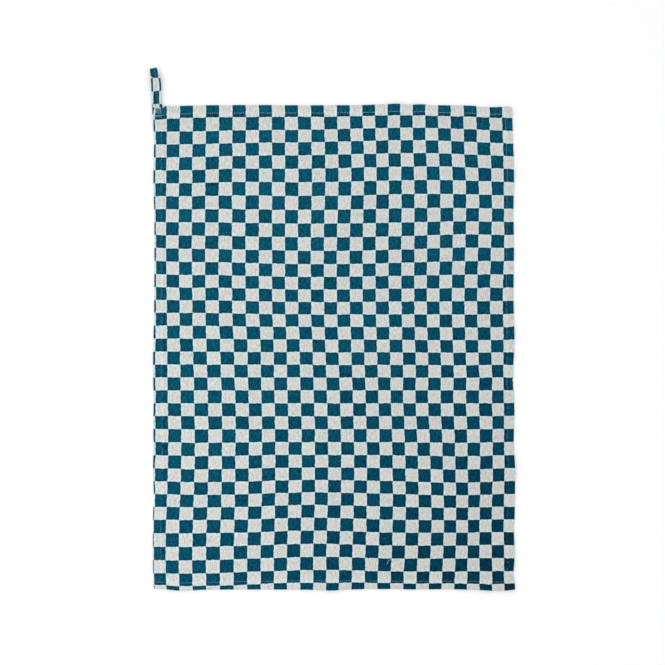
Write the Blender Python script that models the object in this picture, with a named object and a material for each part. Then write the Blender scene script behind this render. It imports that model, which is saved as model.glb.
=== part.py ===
"""Checked tea towel lying flat on a surface, with its hanging loop.

The towel is one cut length of double-woven cotton. Its long sides are turned under and sewn first,
then its top and bottom. The loop is a folded strip of the same cloth, doubled back on itself, with
both ends tucked under the top left corner.

Metres. +X is across the towel, +Y is towards its top edge and the loop, +Z is up from the surface.
The origin is on that surface, under the middle of the towel and loop together.
"""
import math
from collections import namedtuple

import bmesh
import bpy
from mathutils import Vector

MM = 0.001

# Driving dimensions.
TOWEL_WIDTH = 520 * MM          # fold to fold, as it lies
TOWEL_LENGTH = 700 * MM
CUT_LEFT, CUT_RIGHT = -260 * MM, 262.3 * MM      # the same folds on the cloth pulled square
CUT_BOTTOM, CUT_TOP = -350.5 * MM, 348 * MM
CLOTH_THICK = 1.1 * MM
TURNING_THICK = 1.0 * MM        # what a pressed, twice turned hem adds under the cloth
LEFT_HEM, RIGHT_HEM = 13.2 * MM, 11.3 * MM       # turned first; the ends are turned over them
END_HEM = 11.6 * MM
TAPE_THICK = 1.2 * MM
LOOP_REACH = 58.2 * MM          # tip of the loop beyond the towel's top edge
LOOP_TUCK = 8 * MM              # how far its ends lie under the corner
BEND_RADIUS = 3.4 * MM          # middle of the tape round the bend at the tip
CLEARANCE = 0.3 * MM            # between pieces that touch
TOWEL_MIDDLE_Y = -25.9 * MM     # puts the origin under the middle of towel and loop together

# How the cloth is drawn out of square, in millimetres on the cloth pulled square: the middle of
# each pull, how far it reaches either way, and how far it shifts the threads at its middle.
Pull = namedtuple("Pull", "across along reach_across reach_along shift_across shift_along")
PULLS = [
    Pull(-225, 160, 150, 400, -4.0, 0),
    Pull(-225, -300, 120, 150, -3.6, 0),
    Pull(10, -170, 290, 280, 6.4, 0),
    Pull(140, -270, 140, 150, 2.8, 0),
    Pull(15, 250, 100, 110, 2.6, 0),
    Pull(190, 330, 190, 130, -3.8, 0),
    Pull(235, 75, 150, 140, -3.0, 0),
    Pull(110, 285, 200, 120, 0, 6.4),
    Pull(-80, 285, 170, 100, 0, 2.8),
    Pull(-20, 120, 250, 115, 0, -4.6),
    Pull(-20, 20, 230, 90, 0, -1.6),
    Pull(190, 40, 180, 110, 0, -2.6),
    Pull(-30, -250, 130, 110, 0, 3.2),
    Pull(-200, -180, 120, 90, 0, -2.0),
    Pull(170, -185, 120, 90, 0, -2.4),
    Pull(-210, -325, 120, 90, 0, -3.0),
]

# How far each edge strays outwards from a straight line, in millimetres along it and out of it.
Stray = namedtuple("Stray", "at out")
LEFT_EDGE = [
    Stray(-350, 0.4), Stray(-310, 1.7), Stray(-245, 0.9), Stray(-212, -0.7), Stray(-175, 1.0),
    Stray(-143, -0.4), Stray(-82, 0.1), Stray(-20, 0.8), Stray(60, -0.6), Stray(180, -1.0),
    Stray(247, 1.0), Stray(290, 0.4), Stray(325, 1.0), Stray(350, -1.0),
]
RIGHT_EDGE = [
    Stray(-350, 0.2), Stray(-300, 1.9), Stray(-264, 0.1), Stray(-172, 2.8), Stray(-143, 0.3),
    Stray(-90, 1.3), Stray(-40, -0.6), Stray(13, 1.7), Stray(70, 0.0), Stray(200, 0.0),
    Stray(255, 1.6), Stray(290, 0.3), Stray(325, -1.6), Stray(350, -2.8),
]
TOP_EDGE = [
    Stray(-260, -4.6), Stray(-247, -4.4), Stray(-240, -1.0), Stray(-225, -0.6), Stray(-180, 0.6),
    Stray(25, 0.7), Stray(75, 2.2), Stray(94, 3.2), Stray(112, 1.7), Stray(128, 2.3),
    Stray(150, 0.7), Stray(200, 0.4), Stray(232, -1.8), Stray(260, -3.0),
]
BOTTOM_EDGE = [
    Stray(-260, -0.9), Stray(-219, 1.6), Stray(-184, 0.2), Stray(-30, 0.2), Stray(-11, 1.9),
    Stray(20, 0.4), Stray(76, -1.2), Stray(150, 0.0), Stray(200, 1.0), Stray(232, 2.3),
    Stray(260, 0.2),
]

# Low swells where the cloth stands off the surface, in millimetres.
Swell = namedtuple("Swell", "across along reach_across reach_along rise")
SWELLS = [
    Swell(-252, 255, 50, 55, 1.3),
    Swell(-256, -20, 45, 70, 1.2),
    Swell(-250, -300, 60, 60, 1.8),
    Swell(256, 250, 50, 50, 1.5),
    Swell(256, 15, 45, 60, 1.4),
    Swell(255, -172, 60, 50, 2.2),
    Swell(252, -300, 50, 42, 1.6),
    Swell(96, 345, 60, 55, 2.2),
    Swell(-120, 350, 70, 40, 1.0),
    Swell(-218, -350, 50, 45, 1.4),
    Swell(-10, -350, 55, 45, 1.6),
    Swell(218, -350, 60, 55, 1.8),
    Swell(90, 190, 150, 70, 1.6),
    Swell(-130, 150, 100, 80, 1.2),
    Swell(-120, -190, 110, 90, 1.6),
    Swell(120, -230, 120, 80, 1.8),
    Swell(165, -70, 90, 70, 1.1),
]

# The loop's middle line and width seen from above, in millimetres, from its tucked ends to its tip.
Place = namedtuple("Place", "beyond_edge across width")
LOOP_PLACES = [
    Place(-8, -254.9, 14.1),
    Place(0, -254.9, 14.1),
    Place(15, -254.7, 14.0),
    Place(33, -256.0, 14.0),
    Place(44, -257.5, 13.0),
    Place(58.2, -259.6, 11.8),
]

# The folded tape's section, in shares of its width and thickness: flat inside the loop and
# narrower on its outer face.
Corner = namedtuple("Corner", "sideways inward")
TAPE_SECTION = [
    Corner(-0.47, 0.5), Corner(0.47, 0.5), Corner(0.5, 0.2),
    Corner(0.31, -0.5), Corner(-0.33, -0.5), Corner(-0.5, 0.2),
]

# The look of each piece, to tell them apart.
CLOTH_COLOUR = (0.16, 0.26, 0.30, 1)
LOOP_COLOUR = (0.02, 0.08, 0.12, 1)
CLOTH_ROUGHNESS = 0.9

EASE = 25 * MM                  # an edge's own line fades into the pulls over this width
EDGE_ROUND = 0.9 * MM           # a fold's rounding, seen from above
CORNER_ROUND = 8 * MM           # a corner's blunting reaches this far along each edge
CORNER_BLUNT = 1.0 * MM
HEM_FALL = 4.5 * MM             # beyond a hem the cloth comes down to the surface over this width
HEM_STEP = 1 * MM
HEM_LANDING = 8 * MM            # from there to the first section of the plain cloth
FIELD_STEP = 20 * MM            # spacing of the sections inside the hems
SWELL_TRIM = 0.15 * MM          # swells fade to an exactly flat underside
STACK_MARGIN = 3.2 * MM         # the corner stays high this far past the loop's ends
STACK_FALL = 14.5 * MM          # and comes down to the surface over this width
LEG_STEPS, BEND_STEPS = 11, 13  # sections along each leg of the loop and round its bend
SMOOTH_UP_TO = math.radians(40)


def swelling(distance):
    """1 at the middle of a soft bump, 0 at its rim and beyond."""
    return 0.5 + 0.5 * math.cos(math.pi * min(1.0, distance))


def falling(distance, width):
    """1 where distance is nought or less, falling softly to 0 at width."""
    return swelling(min(1.0, max(0.0, distance / width)))


def between(table, key, value, at):
    """Read a table's column at a place between its rows, along a smooth line through the rows."""
    places = [getattr(row, key) for row in table]
    values = [getattr(row, value) for row in table]
    at = min(max(at, places[0]), places[-1])
    row = max(k for k in range(len(table) - 1) if places[k] <= at)
    span = places[row + 1] - places[row]
    share = (at - places[row]) / span

    def slope(k):
        before, after = max(k - 1, 0), min(k + 1, len(table) - 1)
        return (values[after] - values[before]) / (places[after] - places[before]) * span

    first = values[row] * (1 + 2 * share) + slope(row) * share
    second = values[row + 1] * (3 - 2 * share) + slope(row + 1) * (share - 1)
    return first * (1 - share) ** 2 + second * share ** 2


def pulled(across, along):
    """How far the pulls shift the cloth at a point."""
    shift_across = shift_along = 0.0
    for pull in PULLS:
        off = math.hypot((across / MM - pull.across) / pull.reach_across,
                         (along / MM - pull.along) / pull.reach_along)
        shift_across += pull.shift_across * MM * swelling(off)
        shift_along += pull.shift_along * MM * swelling(off)
    return shift_across, shift_along


def eased(pull, cut_low, cut_high, low, high, at):
    """A pull that gives way to the edges' own lines near the two folds."""
    near_low = falling(at - cut_low, EASE)
    near_high = falling(cut_high - at, EASE)
    inside = 1 - near_low - near_high
    return pull * inside + (low - cut_low) * near_low + (high - cut_high) * near_high


def plan(across, along):
    """Where a point of the cloth lies, seen from above, from the towel's middle."""
    shift_across, shift_along = pulled(across, along)
    left = -TOWEL_WIDTH / 2 - between(LEFT_EDGE, "at", "out", along / MM) * MM
    right = TOWEL_WIDTH / 2 + between(RIGHT_EDGE, "at", "out", along / MM) * MM
    bottom = -TOWEL_LENGTH / 2 - between(BOTTOM_EDGE, "at", "out", across / MM) * MM
    top = TOWEL_LENGTH / 2 + between(TOP_EDGE, "at", "out", across / MM) * MM
    x = across + eased(shift_across, CUT_LEFT, CUT_RIGHT, left, right, across)
    y = along + eased(shift_along, CUT_BOTTOM, CUT_TOP, bottom, top, along)
    from_side = min(across - CUT_LEFT, CUT_RIGHT - across)
    from_end = min(along - CUT_BOTTOM, CUT_TOP - along)
    blunt = CORNER_BLUNT * max(0.0, 1 - (from_side + from_end) / CORNER_ROUND)
    return x - math.copysign(blunt, x), y - math.copysign(blunt, y)


def swell(x, y):
    """How high the low swells lift the cloth off the surface."""
    rise = 0.0
    for one in SWELLS:
        off = math.hypot((x / MM - one.across) / one.reach_across,
                         (y / MM - one.along) / one.reach_along)
        rise += one.rise * MM * swelling(off)
    return max(0.0, rise - SWELL_TRIM)


def over_loop(x, y):
    """How high the corner rides over the loop's two tucked ends."""
    stack = 2 * TAPE_THICK + 2 * CLEARANCE
    loop_right = (LOOP_PLACES[0].across + LOOP_PLACES[0].width / 2) * MM
    loop_end = TOWEL_LENGTH / 2 + TOP_EDGE[0].out * MM - LOOP_TUCK
    beside = falling(x - loop_right - STACK_MARGIN, STACK_FALL)
    below = falling(loop_end - STACK_MARGIN - y, STACK_FALL)
    return stack * beside * below


def thickness_band(distance, hem):
    """The share of a turning's height in the cloth's top face and in its underside."""
    fall = falling(distance - hem - HEM_STEP, HEM_FALL)
    return fall, 0.0 if distance <= hem else fall


def turnings(at, low, high, low_hem, high_hem):
    """The same two shares from both of a pair of facing hems."""
    near_low = thickness_band(at - low, low_hem)
    near_high = thickness_band(high - at, high_hem)
    return near_low[0] + near_high[0], near_low[1] + near_high[1]


def cloth_faces(across, along):
    """The plan position of a point of the cloth, and the height of its underside and top."""
    x, y = plan(across, along)
    side_top, side_under = turnings(across, CUT_LEFT, CUT_RIGHT, LEFT_HEM, RIGHT_HEM)
    end_top, end_under = turnings(along, CUT_BOTTOM, CUT_TOP, END_HEM, END_HEM)
    lift = swell(x, y) + over_loop(x, y)
    under = lift + TURNING_THICK * (side_under + end_under)
    top = lift + CLOTH_THICK + TURNING_THICK * (side_top + end_top)
    return x, y + TOWEL_MIDDLE_Y, under, top


def hem_sections(hem):
    """Places of the sections over a hem and beyond it, inwards from its fold."""
    landing = hem + HEM_STEP + HEM_FALL
    return [EDGE_ROUND, hem * 0.5, hem, hem + HEM_STEP, landing - HEM_FALL / 2, landing,
            landing + HEM_LANDING]


def sections(low, high, low_hem, high_hem):
    """Places of the sections from fold to fold: close together over the hems, wider between."""
    low_side = [low + inwards for inwards in hem_sections(low_hem)]
    high_side = [high - inwards for inwards in reversed(hem_sections(high_hem))]
    field_low, field_high = low_side[-1], high_side[0]
    count = round((field_high - field_low) / FIELD_STEP)
    field = [field_low + (field_high - field_low) * step / count for step in range(1, count)]
    return low_side + field + high_side


def plain_material(name, colour):
    material = bpy.data.materials.new(name)
    material.use_nodes = True
    shader = material.node_tree.nodes["Principled BSDF"]
    shader.inputs["Base Color"].default_value = colour
    shader.inputs["Roughness"].default_value = CLOTH_ROUGHNESS
    shader.inputs["Metallic"].default_value = 0.0
    return material


def finish_piece(name, mesh_builder, material):
    """Turn a built shape into the named object, with its faces pointing out."""
    bmesh.ops.recalc_face_normals(mesh_builder, faces=mesh_builder.faces)
    mesh = bpy.data.meshes.new(name)
    mesh_builder.to_mesh(mesh)
    mesh_builder.free()
    mesh.shade_smooth()
    mesh.set_sharp_from_angle(angle=SMOOTH_UP_TO)
    mesh.materials.append(material)
    piece = bpy.data.objects.new(name, mesh)
    bpy.context.scene.collection.objects.link(piece)
    return piece


def build_cloth():
    """The hemmed sheet: a top and an underside over the same sections, joined round the folds."""
    builder = bmesh.new()
    across_sections = sections(CUT_LEFT, CUT_RIGHT, LEFT_HEM, RIGHT_HEM)
    along_sections = sections(CUT_BOTTOM, CUT_TOP, END_HEM, END_HEM)
    top, under = {}, {}
    for i, across in enumerate(across_sections):
        for j, along in enumerate(along_sections):
            x, y, low, high = cloth_faces(across, along)
            top[i, j] = builder.verts.new((x, y, high))
            under[i, j] = builder.verts.new((x, y, low))
    last_i, last_j = len(across_sections) - 1, len(along_sections) - 1
    for i in range(last_i):
        for j in range(last_j):
            square = [(i, j), (i + 1, j), (i + 1, j + 1), (i, j + 1)]
            builder.faces.new([top[place] for place in square])
            builder.faces.new([under[place] for place in reversed(square)])

    # Round the rim, the fold itself stands a little further out than the two faces.
    rim = [(i, 0) for i in range(last_i)] + [(last_i, j) for j in range(last_j)]
    rim += [(i, last_j) for i in range(last_i, 0, -1)] + [(0, j) for j in range(last_j, 0, -1)]
    fold = []
    for i, j in rim:
        across = {0: CUT_LEFT, last_i: CUT_RIGHT}.get(i, across_sections[i])
        along = {0: CUT_BOTTOM, last_j: CUT_TOP}.get(j, along_sections[j])
        x, y, low, high = cloth_faces(across, along)
        fold.append(builder.verts.new((x, y, (low + high) / 2)))
    for step, place in enumerate(rim):
        after = (step + 1) % len(rim)
        builder.faces.new([fold[step], fold[after], top[rim[after]], top[place]])
        builder.faces.new([under[place], under[rim[after]], fold[after], fold[step]])
    return finish_piece("towel_cloth", builder, plain_material("checked_cotton", CLOTH_COLOUR))


def loop_route():
    """The tape's middle from its lower end, round the bend at the tip, to its upper end.

    Each place is how far it lies beyond the towel's edge, its height, and how far the tape has
    turned over: nought along the lower leg, half a turn along the upper one.
    """
    lower = TAPE_THICK / 2
    tucked = lower + TAPE_THICK + CLEARANCE
    bend_start = LOOP_REACH - BEND_RADIUS - TAPE_THICK / 2
    route = [(-LOOP_TUCK, lower, 0.0), (0.0, lower, 0.0)]
    for step in range(1, LEG_STEPS):
        route.append((bend_start * step / LEG_STEPS, lower, 0.0))
    for step in range(BEND_STEPS + 1):
        turn = math.pi * step / BEND_STEPS
        route.append((bend_start + BEND_RADIUS * math.sin(turn),
                      lower + BEND_RADIUS * (1 - math.cos(turn)), turn))
    drop = lower + 2 * BEND_RADIUS - tucked
    for step in range(LEG_STEPS - 1, -1, -1):
        share = step / LEG_STEPS
        slope = math.atan(drop * math.pi / (2 * bend_start) * math.sin(math.pi * share))
        route.append((bend_start * share, tucked + drop * swelling(1 - share), math.pi + slope))
    route.append((-LOOP_TUCK, tucked, math.pi))
    return route


def build_loop():
    """The folded tape: a low six-sided section, narrower on its outer face, swept along its route."""
    builder = bmesh.new()
    edge_y = TOWEL_LENGTH / 2 + TOP_EDGE[0].out * MM + TOWEL_MIDDLE_Y
    rings = []
    for beyond, height, turn in loop_route():
        across = between(LOOP_PLACES, "beyond_edge", "across", beyond / MM) * MM
        width = between(LOOP_PLACES, "beyond_edge", "width", beyond / MM) * MM
        behind = between(LOOP_PLACES, "beyond_edge", "across", beyond / MM - 1) * MM
        lean = (across - behind) / MM
        forward = Vector((lean, 1, 0)).normalized()
        sideways = Vector((forward.y, -forward.x, 0))
        inward = Vector((0, 0, 1)) * math.cos(turn) - forward * math.sin(turn)
        middle = Vector((across, edge_y + beyond, height))
        rings.append([
            builder.verts.new(middle + sideways * corner.sideways * width
                              + inward * corner.inward * TAPE_THICK)
            for corner in TAPE_SECTION
        ])
    for ring, following in zip(rings, rings[1:]):
        for k in range(len(ring)):
            after = (k + 1) % len(ring)
            builder.faces.new([ring[k], ring[after], following[after], following[k]])
    builder.faces.new(rings[0])
    builder.faces.new(list(reversed(rings[-1])))
    return finish_piece("hang_loop", builder, plain_material("checked_tape", LOOP_COLOUR))


for leftover in list(bpy.data.objects):
    bpy.data.objects.remove(leftover)
build_cloth()
build_loop()
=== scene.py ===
"""Checked tea towel with its hanging loop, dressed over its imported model.

Metres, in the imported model's frame: +X across the towel, +Y towards the loop, +Z up from the
surface that it lies on. The sections follow the towel as it is made: the hemmed cloth, its
stitching, the hanging loop, the loop's stitching and a stray thread, and then the surface, the
light and the camera.
"""
import math
import random
from collections import namedtuple

import bpy
import numpy as np
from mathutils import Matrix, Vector, noise


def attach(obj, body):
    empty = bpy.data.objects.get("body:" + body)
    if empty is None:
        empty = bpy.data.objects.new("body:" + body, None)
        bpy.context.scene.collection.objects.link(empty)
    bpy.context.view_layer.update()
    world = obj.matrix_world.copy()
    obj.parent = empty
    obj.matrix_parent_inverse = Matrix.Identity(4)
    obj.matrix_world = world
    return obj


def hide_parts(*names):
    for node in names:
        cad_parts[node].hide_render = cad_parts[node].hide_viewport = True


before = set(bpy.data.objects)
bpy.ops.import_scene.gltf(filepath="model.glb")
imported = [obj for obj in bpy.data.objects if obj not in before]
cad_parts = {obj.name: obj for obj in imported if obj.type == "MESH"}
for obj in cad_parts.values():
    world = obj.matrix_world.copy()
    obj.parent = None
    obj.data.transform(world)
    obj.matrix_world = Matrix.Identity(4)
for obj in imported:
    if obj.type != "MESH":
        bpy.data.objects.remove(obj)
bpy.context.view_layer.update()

# ------------------------------------------------------------------------------------------------
# The towel cloth. One cut length of double-woven cotton in teal and off-white squares. The long
# sides are turned under twice and pressed, and then the two ends over them. It lies face up, drawn
# a little out of square, with its top left corner over the ends of the loop.
# ------------------------------------------------------------------------------------------------
MM = 0.001

TOWEL_WIDTH = 520 * MM          # fold to fold, as it lies
TOWEL_LENGTH = 700 * MM
CUT_LEFT, CUT_RIGHT = -260.0 * MM, 262.9 * MM      # the same folds on the cloth pulled square
CUT_BOTTOM, CUT_TOP = -350.5 * MM, 345.7 * MM
TOWEL_MIDDLE_Y = -25.9 * MM     # the towel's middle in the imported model's frame
LAYER = 0.68 * MM               # one layer of cloth with the air beside it
LAYER_GAP = 0.03 * MM           # air on each face of a layer
REST = 0.15 * MM                # the cloth lies this far up, on its own fibres and stitches
LEFT_HEM, RIGHT_HEM = 13.9 * MM, 12.0 * MM
TOP_HEM, BOTTOM_HEM = 11.3 * MM, 13.8 * MM
HEM_STEP = 1 * MM               # past a hem the cloth is still up on it over this width
HEM_FALL = 4.5 * MM             # and comes down to the surface over this one
SEAM_IN = 0.85 * MM             # stitches from the hem's inner edge
SEAM_DIP, SEAM_DIP_WIDTH = 0.24 * MM, 0.7 * MM      # the stitches pull the cloth down by this much
seam_left, seam_right = CUT_LEFT + LEFT_HEM - SEAM_IN, CUT_RIGHT - RIGHT_HEM + SEAM_IN
seam_bottom, seam_top = CUT_BOTTOM + BOTTOM_HEM - SEAM_IN, CUT_TOP - TOP_HEM + SEAM_IN
TUCK_SHORT = 0.6 * MM           # the raw edge stops this far short of the fold
EASE = 25 * MM                  # an edge's own line fades into the pulls over this width
CORNER_ROUND = 8 * MM           # a corner is blunt where its two edges are this near, taken together
CORNER_BLUNT = 0.5 * MM
SWELL_TRIM = 0.15 * MM          # taken off all the swells, so that the faintest ones lie flat
GRID = 4.2 * MM                 # spacing of the mesh away from the hems

# How the cloth is drawn out of square, in millimetres on the cloth pulled square: the middle of
# each pull, how far it reaches either way, and how far it shifts the threads at its middle.
Pull = namedtuple("Pull", "across along reach_across reach_along shift_across shift_along")
PULLS = [
    Pull(-225, 160, 150, 400, -4.0, 0),
    Pull(-225, -300, 120, 150, -3.6, 0),
    Pull(10, -170, 290, 280, 6.4, 0),
    Pull(140, -270, 140, 150, 2.8, 0),
    Pull(15, 250, 100, 110, 2.6, 0),
    Pull(190, 330, 190, 130, -3.8, 0),
    Pull(235, 75, 150, 140, -3.0, 0),
    Pull(110, 285, 200, 120, 0, 6.4),
    Pull(-80, 285, 170, 100, 0, 2.8),
    Pull(-20, 120, 250, 115, 0, -4.6),
    Pull(-20, 20, 230, 90, 0, -1.6),
    Pull(190, 40, 180, 110, 0, -2.6),
    Pull(-30, -250, 130, 110, 0, 3.2),
    Pull(-200, -180, 120, 90, 0, -2.0),
    Pull(170, -185, 120, 90, 0, -2.4),
    Pull(-210, -325, 120, 90, 0, -3.0),
    Pull(-150, -70, 90, 130, 1.4, 0),
    Pull(150, -85, 110, 70, -1.2, 0),
    Pull(-60, -345, 190, 50, 1.5, 0),
    Pull(220, -270, 60, 100, -1.0, 0),
    Pull(-235, -240, 60, 130, -0.9, 0),
    Pull(-10, -330, 110, 60, 0, 1.5),
    Pull(190, 225, 120, 90, 0, 1.5),
    Pull(-140, 240, 90, 60, 0, 1.0),
    Pull(240, -290, 70, 90, 0, 1.0),
    Pull(-262, 334, 60, 22, 0, -3.2),
    Pull(-100, 5, 130, 50, 1.1, 0),
    Pull(225, -250, 50, 90, -1.1, 0),
    Pull(140, -72, 130, 45, -0.8, 0),
    Pull(-215, -190, 60, 90, -0.6, 0),
    Pull(-235, 40, 50, 130, 0.6, 0),
    Pull(-215, 110, 60, 90, 0, -0.9),
    Pull(180, 152, 90, 50, 0, 0.9),
    Pull(240, 260, 50, 80, 0, 0.7),
    Pull(-55, 0, 45, 110, 0, 0.8),
    Pull(-240, -170, 45, 130, 0, 0.8),
    Pull(0, -240, 45, 60, 0, -0.7),
    Pull(255, -150, 45, 150, 0, 0.6),
]

# How far each edge strays outwards from a straight line, in millimetres along it and out of it.
Stray = namedtuple("Stray", "at out")
LEFT_EDGE = [
    Stray(-350, -0.3), Stray(-310, 0.8), Stray(-245, 0.9), Stray(-212, -0.1), Stray(-175, 1.0),
    Stray(-143, 0.2), Stray(-108, 0.7), Stray(-82, 0.1), Stray(-20, 0.8), Stray(60, -0.6),
    Stray(180, -1.0), Stray(247, 0.3), Stray(290, -0.5), Stray(325, 0.5), Stray(350, -1.0),
]
RIGHT_EDGE = [
    Stray(-350, 1.4), Stray(-328, -1.0), Stray(-300, 0.3), Stray(-264, -0.5), Stray(-241, 0.6),
    Stray(-172, 0.9), Stray(-143, -0.8), Stray(-90, 0.2), Stray(-40, -1.7), Stray(13, 0.1),
    Stray(70, -1.1), Stray(140, -0.4), Stray(200, -1.1), Stray(255, -0.5), Stray(290, -1.6),
    Stray(325, -2.7), Stray(350, -3.9),
]
TOP_EDGE = [
    Stray(-260, -5.6), Stray(-247, -5.4), Stray(-240, -2.0), Stray(-225, -1.6), Stray(-180, -0.4),
    Stray(25, -0.3), Stray(75, 0.8), Stray(94, 1.5), Stray(112, 0.2), Stray(128, 0.8),
    Stray(150, -0.3), Stray(200, -1.0), Stray(215, -2.5), Stray(235, -3.2), Stray(248, -2.5),
    Stray(260, -2.1),
]
BOTTOM_EDGE = [
    Stray(-260, -2.1), Stray(-243, -1.9), Stray(-219, 0.2), Stray(-184, -1.0), Stray(-30, -1.0),
    Stray(-11, 0.1), Stray(20, -1.3), Stray(76, -1.9), Stray(118, -1.3), Stray(150, -1.6),
    Stray(205, -1.0), Stray(235, 0.6), Stray(260, -0.7),
]

# The hems weren't turned along one thread: how far out each fold runs over the squares, in
# millimetres. The squares are as they should be again at this distance from it.
FOLD_STRAY_OVER = 32 * MM
LEFT_FOLD = [
    Stray(-340, -1.3), Stray(-265, -1.4), Stray(-215, -0.5), Stray(-150, 0.2), Stray(-50, 0.4),
    Stray(50, 0.3), Stray(150, -0.2), Stray(205, -0.7), Stray(240, 0.2), Stray(330, 0.0),
]
RIGHT_FOLD = [
    Stray(-313, 1.3), Stray(-275, 1.2), Stray(-237, 2.0), Stray(-201, 2.0), Stray(-145, 1.9),
    Stray(-90, 2.2), Stray(-51, 3.0), Stray(-33, 2.5), Stray(0, 1.1), Stray(39, 0.0),
    Stray(77, -0.3), Stray(115, -1.6), Stray(134, -2.0), Stray(153, -1.6), Stray(192, 0.5),
    Stray(220, 1.6), Stray(249, 1.5), Stray(286, -0.5), Stray(324, 0.8),
]
BOTTOM_FOLD = [
    Stray(-250, -2.4), Stray(-211, -2.3), Stray(-172, -2.8), Stray(-145, -2.5), Stray(-116, -1.2),
    Stray(-97, 0.2), Stray(-77, 1.4), Stray(-40, 1.6), Stray(-2, 2.1), Stray(35, 1.5),
    Stray(73, 0.8), Stray(109, 0.2), Stray(146, 0.6), Stray(183, 0.2), Stray(219, 0.5),
    Stray(240, 1.4),
]

# Low swells where the cloth stands off the surface, in millimetres.
Swell = namedtuple("Swell", "across along reach_across reach_along rise")
SWELLS = [
    Swell(-252, 255, 50, 55, 1.3),
    Swell(-256, -20, 45, 70, 1.2),
    Swell(-250, -300, 60, 60, 1.8),
    Swell(256, 250, 50, 50, 1.5),
    Swell(256, 15, 45, 60, 1.4),
    Swell(255, -172, 60, 50, 2.2),
    Swell(252, -300, 50, 42, 1.6),
    Swell(96, 345, 60, 55, 2.2),
    Swell(-120, 350, 70, 40, 1.0),
    Swell(-218, -350, 50, 45, 1.4),
    Swell(-10, -350, 55, 45, 1.6),
    Swell(218, -350, 60, 55, 1.8),
    Swell(90, 190, 150, 70, 1.6),
    Swell(-130, 150, 100, 80, 1.2),
    Swell(-120, -190, 110, 90, 1.6),
    Swell(120, -230, 120, 80, 1.8),
    Swell(165, -70, 90, 70, 1.1),
]

# The corner rides over the loop's two ends.
CORNER_RISE = 3.0 * MM
CORNER_RISE_RIGHT = -244.65 * MM    # it stays up as far as here
CORNER_RISE_BELOW = 334.2 * MM
CORNER_FALL = 14.5 * MM

# The small unevenness of laundered cotton: the size of each ripple and its height.
Ripple = namedtuple("Ripple", "size height")
FIELD_RIPPLES = [Ripple(46 * MM, 0.28 * MM), Ripple(15 * MM, 0.10 * MM)]
HEM_RIPPLES = [Ripple(19 * MM, 0.30 * MM), Ripple(6.5 * MM, 0.22 * MM)]


def swelling(distance):
    """1 at the middle of a soft bump, 0 at its rim and beyond."""
    return 0.5 + 0.5 * np.cos(np.pi * np.minimum(1.0, distance))


def falling(distance, width):
    """1 where distance is nought or less, falling softly to 0 at width."""
    return swelling(np.clip(distance / width, 0.0, 1.0))


def between(table, key, value, at):
    """Read a table's column at places between its rows, along a smooth line through the rows."""
    places = np.array([getattr(row, key) for row in table], float)
    values = np.array([getattr(row, value) for row in table], float)
    rows = np.arange(len(table))
    before, after = np.maximum(rows - 1, 0), np.minimum(rows + 1, len(table) - 1)
    slopes = (values[after] - values[before]) / (places[after] - places[before])
    at = np.clip(at, places[0], places[-1])
    row = np.clip(np.searchsorted(places, at, side="right") - 1, 0, len(table) - 2)
    span = places[row + 1] - places[row]
    share = (at - places[row]) / span
    first = values[row] * (1 + 2 * share) + slopes[row] * span * share
    second = values[row + 1] * (3 - 2 * share) + slopes[row + 1] * span * (share - 1)
    return first * (1 - share) ** 2 + second * share ** 2


def eased(pull, cut_low, cut_high, low, high, at):
    """A pull that gives way to the edges' own lines near the two folds."""
    near_low = falling(at - cut_low, EASE)
    near_high = falling(cut_high - at, EASE)
    inside = 1 - near_low - near_high
    return pull * inside + (low - cut_low) * near_low + (high - cut_high) * near_high


def plan(across, along):
    """Where a point of the cloth lies, seen from above, from the towel's middle."""
    shift_across, shift_along = np.zeros_like(across), np.zeros_like(across)
    for pull in PULLS:
        reach = swelling(np.hypot((across / MM - pull.across) / pull.reach_across,
                                  (along / MM - pull.along) / pull.reach_along))
        shift_across += pull.shift_across * MM * reach
        shift_along += pull.shift_along * MM * reach
    left = -TOWEL_WIDTH / 2 - between(LEFT_EDGE, "at", "out", along / MM) * MM
    right = TOWEL_WIDTH / 2 + between(RIGHT_EDGE, "at", "out", along / MM) * MM
    bottom = -TOWEL_LENGTH / 2 - between(BOTTOM_EDGE, "at", "out", across / MM) * MM
    top = TOWEL_LENGTH / 2 + between(TOP_EDGE, "at", "out", across / MM) * MM
    x = across + eased(shift_across, CUT_LEFT, CUT_RIGHT, left, right, across)
    y = along + eased(shift_along, CUT_BOTTOM, CUT_TOP, bottom, top, along)
    from_side = np.minimum(across - CUT_LEFT, CUT_RIGHT - across)
    from_end = np.minimum(along - CUT_BOTTOM, CUT_TOP - along)
    blunt = CORNER_BLUNT * np.clip(1 - (from_side + from_end) / CORNER_ROUND, 0.0, 1.0)
    return x - np.copysign(blunt, x), y - np.copysign(blunt, y)


def lift(x, y):
    """How high the low swells and the loop's ends lift the cloth off the surface."""
    rise = -SWELL_TRIM
    for swell in SWELLS:
        rise = rise + swell.rise * MM * swelling(np.hypot((x / MM - swell.across) / swell.reach_across,
                                                          (y / MM - swell.along) / swell.reach_along))
    beside = falling(x - CORNER_RISE_RIGHT, CORNER_FALL)
    below = falling(CORNER_RISE_BELOW - y, CORNER_FALL)
    return np.maximum(0.0, rise) + CORNER_RISE * beside * below


def hem_share(at, low, high, low_hem, high_hem):
    """1 over either of two facing hems, falling to 0 just past them."""
    return (falling(at - low - low_hem - HEM_STEP, HEM_FALL)
            + falling(high - at - high_hem - HEM_STEP, HEM_FALL))


def side_share(across):
    return hem_share(across, CUT_LEFT, CUT_RIGHT, LEFT_HEM, RIGHT_HEM)


def end_share(along):
    return hem_share(along, CUT_BOTTOM, CUT_TOP, BOTTOM_HEM, TOP_HEM)


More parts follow.
